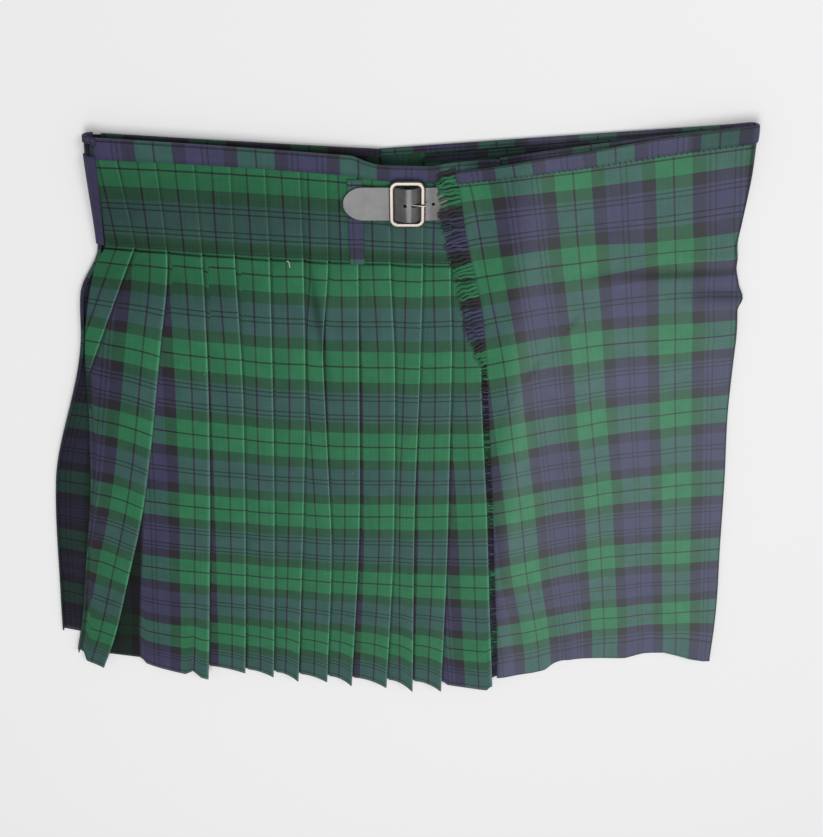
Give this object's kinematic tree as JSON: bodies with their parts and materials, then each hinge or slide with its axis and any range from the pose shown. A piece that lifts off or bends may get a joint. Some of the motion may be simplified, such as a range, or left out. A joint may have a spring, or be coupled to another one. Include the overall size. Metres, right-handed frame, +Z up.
{
  "type": "tartan skirt",
  "caption": "Pleated wrap-over kilt laid flat: sewn-down knife pleats, plain aprons, fringed edge, waistband, belt loops and a leather hip strap in a polished buckle.",
  "frame": {"origin": "middle of the skirt's box, on the surface that it lies on", "axes": "+X from the left fold to the right fold, +Y from the hem to the waist, +Z up out of the surface"},
  "size_m": [0.7326, 0.6646, 0.0232],
  "materials": {
    "tartan": "matte wool twill, dark green, navy and black checks",
    "waistband": "matte wool twill, the same cloth cut along its blue band",
    "leather": "black, soft sheen",
    "polished_steel": "polished"
  },
  "bodies": {
    "root": {"front_pleats": "tartan", "back_pleats": "tartan", "over_apron": "tartan", "under_apron": "tartan", "waistband_front": "waistband", "waistband_back": "waistband", "waistband_over_apron": "waistband", "waistband_under_apron": "waistband", "belt_loop_hip": "waistband", "belt_loop_side": "waistband", "apron_fringe": "tartan", "strap": "leather", "buckle_frame": "polished_steel", "buckle_prong": "polished_steel", "buckle_tab": "leather"}
  },
  "joints": []
}
